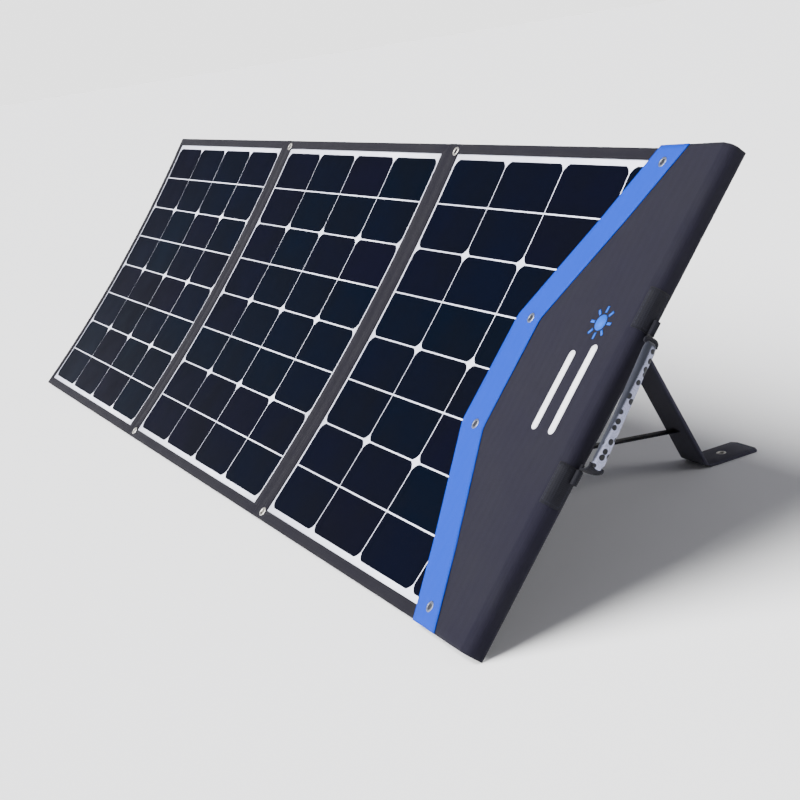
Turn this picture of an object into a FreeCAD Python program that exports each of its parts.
import FreeCAD, Part
import math
import os

# A folding solar suitcase: three bowed textile panels in a row, joined by soft hinge strips, with
# a closing flap, a padded spine and a carrying handle on the right panel, and two strutted legs.
#
# Everything is first built in the panel frame: X along the row of panels, Y up the panels,
# Z out of their front face, with the origin on the laminate at the middle panel's centre.
# At the end it all leans back and stands on the ground, with the front facing -Y.
# The origin is then the middle of the ground under the whole object.

V3 = FreeCAD.Vector

# ---- driving dimensions, millimetres and degrees ----
cell_width = 125.0
cell_height = 62.15          # a full cell cut in half
cell_gap = 2.0
cell_corner = 9.0            # cut-off corner of the full cell
cell_columns = 4
cell_rows = 8
window_side = 4.5            # bare laminate between the cells and the fabric, at the sides
window_end = 7.0             # the same at the top and bottom
border = 15.0                # fabric border round the laminate
bow = 13.9                   # how far the middle of a panel sits behind its ends

frame_thick = 1.4
cell_thick = 0.4
sheet_thick = 1.0
ribbon_thick = 0.3
board_thick = 3.6
cover_thick = 1.3
binding_width = 4.0          # soft edge outside the board

left_gap = 9.9               # soft stretch between the left and middle panels
right_gap = 12.3             # soft stretch between the middle and right panels
left_fold_height = 3.6       # fold axis above the laminate at the panels' ends
right_fold_height = 10.1

eyelet_bore = 3.5            # radius
eyelet_wall = 0.7
eyelet_flange = 6.3          # radius
flange_thick = 0.6
hinge_eyelet_end = 10.6      # from a panel's end to its eyelets
hinge_eyelet_side = 8.0      # from a panel's side to its eyelets

flap_thick = 2.4
flap_slope = 4.9             # degrees, down from the spine to the flap's free edge
flap_tip = 219.0             # reach of the flap at its middle
flap_knee = 150.0            # reach where its edge bends
flap_end = 108.0             # reach at its two ends
flap_tip_half = 66.0         # half length of the straight stretch at the tip
flap_knee_half = 192.0
trim_width = 51.0            # of the coloured band along the flap's edge, across the row
trim_thick = 0.6
flap_eyelets = ((89.0, 257.0), (188.0, 65.0))   # reach and half spacing
stiffener_thick = 1.2
stiffener_margin = 8.0

spine_width = 14.5           # how far the spine stands out past the panel
crest_height = 13.6          # spine's crest above the laminate at the panels' ends
spine_skin = 1.6
spine_round = 9.0
spine_low = 6.0              # back edge of the spine's outer side, above the laminate's middle
hinge_inset = 3.5            # flap axis from the panel's edge

patch_thick = 1.6
patch_length = 44.0
handle_length = 146.0        # over its two arms
handle_reach = 14.0          # from its pivot to the middle of the grip
handle_height = 10.0         # pivot above the middle of the laminate
grip_width = 19.0
grip_thick = 8.0
arm_thick = 6.0
handle_pin = 1.8             # radius
pin_play = 0.4

lean = 49.0                  # between a panel and the ground
leg_tilt = 24.55             # degrees between an opened leg and upright
leg_width = 50.0
leg_thick = 5.0
leg_hinge_end = 71.0         # hinge from the panel's top
leg_hinge_drop = 6.0         # hinge axis behind the back cover there
leg_pin = 1.5                # radius
leg_pin_play = 0.06
stow_gap = 2.2               # degrees left between a stowed leg and the panel's chord
bracket_thick = 3.0
foot_length = 83.0
foot_thick = 4.0
crease_height = 3.0
strap_width = 16.0
strap_thick = 1.5
strap_end = 127.6            # strap's tab from the panel's bottom
strap_on_leg = 55.0          # strap above the crease
tab_thick = 1.2

stud_stem = 2.0              # radius
stud_head = 3.3              # radius
box_length = 112.0
box_width = 74.0
box_depth = 18.0
box_wall = 2.2
box_side = 150.0             # regulator to the right of the panel's middle
box_up = 95.0
gland_bore = 3.2             # radius
gap = 0.3                    # between pieces that are not sewn or bonded together
bow_gap = 0.01               # between a flat fitting and the bowed surface that it sits on

# ---- sizes that follow ----
column_pitch = cell_width + cell_gap
row_pitch = cell_height + cell_gap
cells_wide = cell_columns * column_pitch - cell_gap
cells_tall = cell_rows * row_pitch - cell_gap
panel_width = cells_wide + 2 * (window_side + border)
panel_height = cells_tall + 2 * (window_end + border)
half_w = panel_width / 2
half_h = panel_height / 2
bow_radius = half_h ** 2 / (2 * bow) + bow / 2
board_front = -sheet_thick - ribbon_thick
board_back = board_front - board_thick
back_face = board_back - cover_thick
left_centre = -panel_width - left_gap
right_centre = panel_width + right_gap
left_axis = -half_w - left_gap / 2
right_axis = half_w + right_gap / 2
left_axis_height = bow + left_fold_height
right_axis_height = bow + right_fold_height
spine_edge = right_centre + half_w
flap_axis = spine_edge + hinge_inset
flap_axis_height = bow + crest_height - flap_thick / 2
spine_top = flap_axis_height - flap_thick / 2 - 0.5
spine_side = spine_edge + spine_width
handle_axis = spine_side + patch_thick + handle_pin + pin_play
leg_hinge_up = half_h - leg_hinge_end
strap_low = half_h - strap_end


def box(x0, x1, y0, y1, z0, z1):
    """A box between two corners."""
    return Part.makeBox(x1 - x0, y1 - y0, z1 - z0, V3(x0, y0, z0))


def rod(radius, start, end):
    """A round bar between two points."""
    return Part.makeCylinder(radius, end.sub(start).Length, start, end.sub(start))


def prism(points, depth):
    """A solid from an outline, pushed along a vector."""
    wire = Part.makePolygon(list(points) + [points[0]])
    return Part.Face(wire).extrude(depth)


def bent(x0, x1, y0, y1, z0, z1):
    """A plate that follows the bow, with y along the curve and z off the laminate's surface."""
    corners = [V3(x0, 0, z0), V3(x1, 0, z0), V3(x1, 0, z1), V3(x0, 0, z1), V3(x0, 0, z0)]
    face = Part.Face(Part.makePolygon(corners))
    centre = V3(0, 0, bow_radius)
    face.rotate(centre, V3(1, 0, 0), math.degrees(y0 / bow_radius))
    return face.revolve(centre, V3(1, 0, 0), math.degrees((y1 - y0) / bow_radius))


def on_bow(shape, x, y):
    """Moves a shape from the origin to a place on the bowed surface, square to it."""
    moved = shape.copy()
    moved.translate(V3(x, 0, 0))
    moved.rotate(V3(0, 0, bow_radius), V3(1, 0, 0), math.degrees(y / bow_radius))
    return moved


def bow_point(x, y, z):
    """The point at x and y on the bow, z off the laminate."""
    turn = y / bow_radius
    reach = bow_radius - z
    return V3(x, reach * math.sin(turn), bow_radius - reach * math.cos(turn))


def eyelet(low, high):
    """A pressed ring along Z with a flange on each face of the cloth between low and high."""
    barrel = Part.makeCylinder(eyelet_bore + eyelet_wall, high - low, V3(0, 0, low))
    top = Part.makeCylinder(eyelet_flange, flange_thick, V3(0, 0, high))
    foot = Part.makeCylinder(eyelet_flange, flange_thick, V3(0, 0, low - flange_thick))
    bore = Part.makeCylinder(eyelet_bore, high - low + 4 * flange_thick, V3(0, 0, low - 2 * flange_thick))
    return barrel.fuse([top, foot]).cut(bore).removeSplitter()


def eyelet_hole(low, high):
    """The hole in the cloth that an eyelet's barrel fills."""
    return Part.makeCylinder(eyelet_bore + eyelet_wall, high - low + 4, V3(0, 0, low - 2))


def half_cell(row):
    """One half cell, with cut corners on the side away from its other half."""
    half_x = cell_width / 2
    half_y = cell_height / 2
    side = 1 if row % 2 == 0 else -1
    outline = [
        (-half_x, -side * half_y),
        (half_x, -side * half_y),
        (half_x, side * (half_y - cell_corner)),
        (half_x - cell_corner, side * half_y),
        (cell_corner - half_x, side * half_y),
        (-half_x, side * (half_y - cell_corner)),
    ]
    lift = half_y ** 2 / (2 * bow_radius) + 0.02
    return prism([V3(x, y, lift) for x, y in outline], V3(0, 0, cell_thick))


def cell_field(centre):
    """All half cells of one panel, as separate solids."""
    cells = []
    for row in range(cell_rows):
        for column in range(cell_columns):
            x = centre + (column - (cell_columns - 1) / 2) * column_pitch
            y = ((cell_rows - 1) / 2 - row) * row_pitch
            cells.append(on_bow(half_cell(row), x, y))
    return Part.makeCompound(cells)


def bus_ribbons(centre):
    """Flat ribbons behind the laminate that join the cell strings at both ends."""
    ribbons = []
    for side in (1, -1):
        for pair in (1, -1):
            x0 = centre + pair * column_pitch - 0.8 * column_pitch
            x1 = centre + pair * column_pitch + 0.8 * column_pitch
            y = side * (cells_tall / 2 - 10)
            ribbons.append(bent(x0, x1, y - 2.5, y + 2.5, board_front, -sheet_thick))
    return Part.makeCompound(ribbons)


def panel(name, centre, eyelets):
    """One panel's layers, from the fabric front border to the fabric back cover."""
    left = centre - half_w
    right = centre + half_w
    window = bent(
        left + border, right - border, border - half_h, half_h - border, -0.5, frame_thick + 0.5
    )
    frame = bent(left, right, -half_h, half_h, 0, frame_thick).cut(window)
    inner = (left + binding_width, right - binding_width, binding_width - half_h, half_h - binding_width)
    sheet = bent(*inner, -sheet_thick, 0)
    board = bent(*inner, board_back, board_front)
    core = bent(*inner, board_back - 0.5, 0.5)
    binding = bent(left, right, -half_h, half_h, board_back, 0).cut(core)
    cover = bent(left, right, -half_h, half_h, back_face, board_back)
    # the junction box lies in a window of the board
    jx = centre - 150.0
    jy = -half_h + 60.0
    pocket = bent(jx - 32, jx + 32, jy - 21, jy + 21, board_back - 0.5, board_front + 0.5)
    junction = bent(jx - 32 + gap, jx + 32 - gap, jy - 21 + gap, jy + 21 - gap, board_back, board_front)
    layers = {
        "front_frame": frame,
        "backsheet": sheet,
        "board": board.cut(pocket),
        "edge_binding": binding,
        "back_cover": cover,
        "junction_box": junction,
    }
    for x, y in eyelets:
        hole = on_bow(eyelet_hole(back_face, frame_thick), x, y)
        for layer in layers:
            if layer != "junction_box":
                layers[layer] = layers[layer].cut(hole)
    layers["cells"] = cell_field(centre)
    layers["bus_ribbons"] = bus_ribbons(centre)
    return {name + "_" + layer: shape for layer, shape in layers.items()}


def hinge_strip(axis, width):
    """The soft strip across the gap between two panels."""
    return bent(axis - width / 2, axis + width / 2, -half_h, half_h, back_face + 2, frame_thick)


def flap_outline(reach_cut, low, high):
    """The flap's outline with its free edge drawn back, from low to high along Z."""
    edge = (
        (flap_tip - reach_cut, flap_tip_half),
        (flap_knee - reach_cut, flap_knee_half),
        (flap_end - reach_cut, half_h),
    )
    upper = [V3(-reach, half, low) for reach, half in edge]
    lower = [V3(-reach, -half, low) for reach, half in reversed(edge)]
    root = [V3(0, -half_h, low), V3(0, half_h, low)]
    return prism(root + upper[::-1] + lower[::-1], V3(0, 0, high - low))


def lay_flap(shape):
    """Puts a flap piece, drawn flat with its axis on Y, onto the spine's crest."""
    moved = shape.copy()
    moved.rotate(V3(0, 0, 0), V3(0, 1, 0), -flap_slope)
    moved.translate(V3(flap_axis, 0, flap_axis_height))
    return moved


def flap_pieces():
    """The closing flap: cover with a board inside, coloured band and four eyelets."""
    half_t = flap_thick / 2
    cover = flap_outline(0, -half_t, half_t)
    cover = cover.fuse(rod(half_t, V3(0, -half_h, 0), V3(0, half_h, 0)))
    pocket_half = half_h - stiffener_margin
    inside = box(-flap_tip, -stiffener_margin, -pocket_half, pocket_half, -half_t, half_t)
    stiffener = flap_outline(trim_width + 4, -stiffener_thick / 2, stiffener_thick / 2).common(inside)
    cover = cover.cut(stiffener)
    trim = flap_outline(0, half_t, half_t + trim_thick).cut(flap_outline(trim_width, 0, half_t + 1))
    rings = []
    for reach, half in flap_eyelets:
        for side in (1, -1):
            place = V3(-reach, side * half, 0)
            ring = eyelet(-half_t, half_t + trim_thick)
            hole = eyelet_hole(-half_t, half_t + trim_thick)
            ring.translate(place)
            hole.translate(place)
            cover = cover.cut(hole)
            trim = trim.cut(hole)
            rings.append(ring)
    pieces = {
        "flap_cover": cover.removeSplitter(),
        "flap_stiffener": stiffener,
        "flap_trim": trim,
        "flap_eyelets": Part.makeCompound(rings),
    }
    return {name: lay_flap(shape) for name, shape in pieces.items()}


def spine_section(grow):
    """The spine's block, rounded along its crest and sloped at the back, grown or shrunk all round."""
    side = spine_side + grow
    top = spine_top + grow
    low = back_face - grow
    block = box(spine_edge + gap - grow, side, -half_h - 5, half_h + 5, low, top)
    crest = []
    for edge in block.Edges:
        a, b = edge.Vertexes[0].Point, edge.Vertexes[1].Point
        if abs(a.y - b.y) > half_h and abs(a.x - side) < 0.01 and a.z > 0:
            crest.append(edge)
    slope = (spine_low - back_face) / spine_width
    past = 10.0
    wedge = prism(
        [
            V3(spine_edge, -half_h - 10, low),
            V3(spine_side + past, -half_h - 10, low + slope * (spine_width + past)),
            V3(spine_side + past, -half_h - 10, low - 40),
            V3(spine_edge, -half_h - 10, low - 40),
        ],
        V3(0, 2 * half_h + 20, 0),
    )
    return block.makeFillet(spine_round + grow, crest).cut(wedge)


def spine_pieces():
    """The padded spine: a fabric skin round a foam core, cut to the bow at the back."""
    outside = bent(spine_edge - 5, spine_side + 5, -half_h, half_h, back_face, 60)
    inside = bent(spine_edge - 5, spine_side + 5, 3 - half_h, half_h - 3, back_face + spine_skin, 60)
    whole = spine_section(0).common(outside)
    core = spine_section(-spine_skin).common(inside)
    return {"spine_cover": whole.cut(core), "spine_core": core}


def handle_anchors():
    """Two webbing patches round the spine, each with a loop for the handle's pin."""
    anchors = []
    inner = handle_length / 2 + gap
    for side in (1, -1):
        near, far = sorted((side * inner, side * (inner + patch_length)))
        keep = bent(spine_edge + hinge_inset + 7, spine_side + 5, near, far, back_face, 60)
        patch = spine_section(patch_thick).cut(spine_section(0)).common(keep)
        start = V3(handle_axis, near + (0.4 if side > 0 else patch_length - 15.4), handle_height)
        end = V3(handle_axis, start.y + 15, handle_height)
        loop = rod(handle_pin + pin_play + 1.4, start, end)
        loop = loop.cut(box(handle_axis - 9, spine_side + patch_thick / 2, start.y - 1, end.y + 1, 0, 20))
        patch = patch.fuse(loop).cut(rod(handle_pin + pin_play, start - V3(0, 40, 0), end + V3(0, 40, 0)))
        anchors.append(patch.removeSplitter())
    return Part.makeCompound(anchors)


def handle_pieces():
    """The handle: webbing with gathered ends on pins, and a padded grip round it."""
    half_l = handle_length / 2
    outer = handle_reach + grip_thick / 2
    inner = handle_reach - grip_thick / 2
    half_g = grip_width / 2
    arm = (
        (0, handle_pin), (inner, half_g), (outer, half_g),
        (outer, -half_g), (inner, -half_g), (0, -handle_pin),
    )
    core = (handle_reach - 1.2, handle_reach + 1.2)
    webbing = box(*core, 2 - half_l, half_l - 2, 1.5 - half_g, half_g - 1.5)
    for side in (1, -1):
        y = side * half_l
        points = [V3(x, y, z) for x, z in arm]
        webbing = webbing.fuse(prism(points, V3(0, -side * arm_thick, 0)))
        pin = rod(handle_pin, V3(0, side * (half_l - arm_thick), 0), V3(0, side * (half_l + 14), 0))
        webbing = webbing.fuse(pin)
    end = half_l - arm_thick - gap
    grip = box(inner, outer, -end, end, -half_g, half_g)
    grip = grip.makeFillet(grip_thick * 0.42, [e for e in grip.Edges if abs(e.Length - 2 * end) < 0.01])
    grip = grip.cut(box(*core, -end - 1, end + 1, 1.5 - half_g, half_g - 1.5))
    pieces = {"handle_webbing": webbing.removeSplitter(), "handle_grip": grip}
    for shape in pieces.values():
        shape.translate(V3(handle_axis, 0, handle_height))
    return pieces


# the ground, seen from the panel frame
up = V3(0, math.sin(math.radians(lean)), math.cos(math.radians(lean)))
back = V3(0, math.cos(math.radians(lean)), -math.sin(math.radians(lean)))
ground = bow_point(0, -half_h, back_face).dot(up)
leg_root = bow_point(0, leg_hinge_up, back_face) - V3(0, 0, leg_hinge_drop)
leg_drop = leg_root.dot(up) - ground - crease_height
leg_lean = math.radians(leg_tilt)
leg_length = leg_drop / math.cos(leg_lean)
leg_way = back * math.sin(leg_lean) - up * math.cos(leg_lean)
crease = leg_root + leg_way * leg_length
leg_open = math.degrees(math.atan2(-leg_way.z, -leg_way.y))
leg_travel = leg_open - stow_gap
foot_travel = 90.0 - leg_tilt


def leg_pieces(name, centre):
    """One support leg with its bracket, stay strap, strap tab, foot plate and foot eyelet."""
    half = leg_width / 2
    radius = leg_thick / 2
    leg = box(-half, half, -leg_length, 0, -radius, radius)
    for y in (0, -leg_length):
        leg = leg.fuse(rod(radius, V3(-half, y, 0), V3(half, y, 0)))
    leg = leg.cut(rod(leg_pin + leg_pin_play, V3(-half - 1, 0, 0), V3(half + 1, 0, 0))).removeSplitter()
    leg.rotate(V3(0, 0, 0), V3(1, 0, 0), leg_open)
    leg.translate(leg_root + V3(centre, 0, 0))

    ear = half + gap + bracket_thick
    bracket = bent(centre - ear - 4, centre + ear + 4, leg_hinge_up - 14, leg_hinge_up + 14,
                   back_face - tab_thick, back_face)
    behind = bent(centre - 60, centre + 60, leg_hinge_up - 40, leg_hinge_up + 40, back_face - bow_gap, 60)
    for side in (1, -1):
        x0, x1 = sorted((centre + side * (half + gap), centre + side * ear))
        lug = box(x0, x1, leg_root.y - 6, leg_root.y + 6, leg_root.z - 4, leg_root.z + leg_hinge_drop + 5)
        bracket = bracket.fuse(lug.cut(behind))
    pin = rod(leg_pin, leg_root + V3(centre - ear, 0, 0), leg_root + V3(centre + ear, 0, 0))
    bracket = bracket.fuse(pin).removeSplitter()

    tab = bent(centre - 12, centre + 12, -strap_low - 14, -strap_low + 14, back_face - tab_thick, back_face)
    start = bow_point(centre, -strap_low, back_face - tab_thick - strap_thick)
    face = V3(0, -leg_way.z, leg_way.y)
    if face.dot(back) > 0:
        face = face * -1
    end = leg_root + leg_way * (leg_length - strap_on_leg) + face * (radius + strap_thick) + V3(centre, 0, 0)
    run = end.sub(start)
    strap = box(-strap_width / 2, strap_width / 2, 0, run.Length, -strap_thick / 2, strap_thick / 2)
    strap.rotate(V3(0, 0, 0), V3(1, 0, 0), math.degrees(math.atan2(run.z, run.y)))
    strap.translate(start)

    plate = box(-half, half, 0, foot_length, -crease_height, foot_thick - crease_height)
    plate = plate.cut(rod(radius + gap + 0.3, V3(-half - 1, 0, 0), V3(half + 1, 0, 0)))
    middle = V3(0, foot_length / 2, 0)
    ring = eyelet(-crease_height + flange_thick, foot_thick - crease_height)
    hole = eyelet_hole(-crease_height, foot_thick - crease_height)
    sink = Part.makeCylinder(eyelet_flange + 0.1, flange_thick, V3(0, 0, -crease_height))
    for shape in (ring, hole, sink):
        shape.translate(middle)
    plate = plate.cut(hole.fuse(sink))
    for shape in (plate, ring):
        shape.rotate(V3(0, 0, 0), V3(1, 0, 0), -lean)
        shape.translate(crease + V3(centre, 0, 0))
    return {
        "leg_" + name: leg,
        "leg_bracket_" + name: bracket,
        "leg_strap_" + name: strap,
        "strap_tab_" + name: tab,
        "foot_plate_" + name: plate,
        "foot_eyelet_" + name: ring,
    }


def closure_studs():
    """Studs on the middle panel's back that the flap's eyelets close over."""
    studs = []
    for reach, half in flap_eyelets:
        x = 2 * right_axis - flap_axis + reach
        for side in (1, -1):
            stud = Part.makeCylinder(7.0, 1.0, V3(0, 0, -1.0))
            stud = stud.fuse(Part.makeCylinder(stud_stem, 6.0, V3(0, 0, -6.0)))
            stud = stud.fuse(Part.makeSphere(stud_head, V3(0, 0, -6.0)))
            stud = stud.cut(box(-8, 8, -8, 8, 0, 8))
            studs.append(on_bow(stud.removeSplitter(), x, side * half))
    for stud in studs:
        stud.translate(V3(0, 0, back_face))
    behind = bent(-half_w, half_w, -half_h, half_h, back_face, 60)
    return Part.makeCompound([stud.cut(behind) for stud in studs])


def regulator():
    """The charge regulator on the middle panel's back: tray, lid, screws, terminals and gland."""
    half_l = box_length / 2
    half_b = box_width / 2
    base = back_face - 0.5
    joint = base - box_depth + 4
    outside = base - box_depth
    behind = bent(-half_w, half_w, -half_h, half_h, back_face - bow_gap, 60)
    tray = box(box_side - half_l, box_side + half_l, box_up - half_b, box_up + half_b, joint, 4)
    hollow = box(box_side - half_l + box_wall, box_side + half_l - box_wall,
                 box_up - half_b + box_wall, box_up + half_b - box_wall, joint - 1, base - box_wall)
    gland_at = V3(box_side + 24, box_up - half_b, (joint + base - box_wall) / 2 + 1)
    tray = tray.cut(hollow).cut(behind)
    tray = tray.cut(rod(5.0, gland_at - V3(0, 3, 0), gland_at + V3(0, box_wall + 2, 0)))
    lid = box(box_side - half_l, box_side + half_l, box_up - half_b, box_up + half_b, outside, joint)
    lid = lid.makeFillet(2.0, [e for e in lid.Edges if abs(e.BoundBox.ZMax - outside) < 0.01])
    posts = []
    screws = []
    for side_x in (1, -1):
        for side_y in (1, -1):
            x = box_side + side_x * (half_l - 7)
            y = box_up + side_y * (half_b - 7)
            post = rod(4.5, V3(x, y, joint), V3(x, y, base - box_wall))
            bore = rod(1.5, V3(x, y, joint - 1), V3(x, y, joint + 6))
            posts.append(post.cut(bore))
            sink = rod(3.0, V3(x, y, outside - 1), V3(x, y, outside + 1.6))
            lid = lid.cut(sink.fuse(rod(1.5, V3(x, y, outside), V3(x, y, joint + 1))))
            head = rod(2.8, V3(x, y, outside + 0.1), V3(x, y, outside + 1.6))
            slot = box(x - 3, x + 3, y - 0.4, y + 0.4, outside - 1, outside + 0.8)
            screws.append(head.fuse(rod(1.4, V3(x, y, outside + 1), V3(x, y, joint + 5))).cut(slot))
    tray = tray.fuse(posts).removeSplitter()
    block = box(box_side - 20, box_side + 20, box_up - 9, box_up + 9, joint + 0.5, base - box_wall)
    for step in range(4):
        x = box_side - 15 + 10 * step
        block = block.cut(rod(2.2, V3(x, box_up + 4, joint), V3(x, box_up + 4, joint + 6)))
        block = block.cut(rod(2.0, V3(x, box_up - 10, joint + 4), V3(x, box_up - 3, joint + 4)))
    gland = rod(4.95, gland_at - V3(0, 2, 0), gland_at + V3(0, box_wall, 0))
    gland = gland.fuse(rod(5.6, gland_at - V3(0, 12, 0), gland_at - V3(0, 0.05, 0)))
    gland = gland.cut(rod(gland_bore, gland_at - V3(0, 14, 0), gland_at + V3(0, 6, 0)))
    pieces = {
        "regulator_tray": tray,
        "regulator_lid": lid,
        "regulator_screws": Part.makeCompound(screws),
        "terminal_block": block,
        "cable_gland": gland.removeSplitter(),
    }
    places["cable_gland"] = gland_at - V3(0, 6, 0)
    return pieces


# ---- assembly ----
places = {}
eyelet_rows = [half_h - hinge_eyelet_end, hinge_eyelet_end - half_h]
mid_eyelets = [(hinge_eyelet_side - half_w, y) for y in eyelet_rows]
right_eyelets = [(right_centre - half_w + hinge_eyelet_side, y) for y in eyelet_rows]

nodes = {}
nodes.update(panel("left", left_centre, []))
nodes.update(panel("mid", 0.0, mid_eyelets))
nodes.update(panel("right", right_centre, right_eyelets))
nodes["hinge_strip_left"] = hinge_strip(left_axis, left_gap)
nodes["hinge_strip_right"] = hinge_strip(right_axis, right_gap)
for side, holes in (("left", mid_eyelets), ("right", right_eyelets)):
    rings = [on_bow(eyelet(back_face - bow_gap, frame_thick + bow_gap), x, y) for x, y in holes]
    nodes["hinge_eyelets_" + side] = Part.makeCompound(rings)
nodes.update(flap_pieces())
nodes.update(spine_pieces())
nodes["handle_anchors"] = handle_anchors()
nodes.update(handle_pieces())
nodes.update(leg_pieces("mid", 0.0))
nodes.update(leg_pieces("right", right_centre))
nodes["closure_studs"] = closure_studs()
nodes.update(regulator())

middle_of_rings = (back_face + frame_thick) / 2
for name, holes in (("left", mid_eyelets), ("right", right_eyelets)):
    for end, (x, y) in zip(("top", "bottom"), holes):
        places["hinge_eyelet_" + name + "_" + end] = bow_point(x, y, middle_of_rings)
places["fold_left"] = V3(left_axis, 0, left_axis_height)
places["fold_right"] = V3(right_axis, 0, right_axis_height)
places["flap"] = V3(flap_axis, 0, flap_axis_height)
places["handle"] = V3(handle_axis, 0, handle_height)
for name, centre in (("mid", 0.0), ("right", right_centre)):
    places["leg_" + name] = leg_root + V3(centre, 0, 0)
    places["foot_" + name] = crease + V3(centre, 0, 0)
    places["foot_eyelet_" + name] = crease + V3(centre, 0, 0) + back * (foot_length / 2) - up
    places["foot_sole_" + name] = crease + V3(centre, 0, 0) + back * (foot_length - 10) - up * crease_height

# lean the kit back and stand it on the ground, centred over the origin
lean_turn = FreeCAD.Placement(V3(0, 0, 0), FreeCAD.Rotation(V3(1, 0, 0), lean))
for shape in nodes.values():
    shape.Placement = lean_turn.multiply(shape.Placement)
extent = Part.makeCompound(list(nodes.values())).optimalBoundingBox(False)
shift = V3(-extent.Center.x, -extent.Center.y, -extent.ZMin)

os.makedirs("parts", exist_ok=True)
for name, shape in nodes.items():
    shape.translate(shift)
    shape.exportStep("parts/" + name + ".step")

for name, place in places.items():
    spot = lean_turn.multVec(place) + shift
    print("place", name, round(spot.x, 3), round(spot.y, 3), round(spot.z, 3))
print("size", round(extent.XLength, 2), round(extent.YLength, 2), round(extent.ZLength, 2))
print("travel leg", round(leg_travel, 2), "foot", round(foot_travel, 2), "leg length", round(leg_length, 2))
print("shift", round(shift.x, 3), round(shift.y, 3), round(shift.z, 3))
print("nodes", len(nodes))
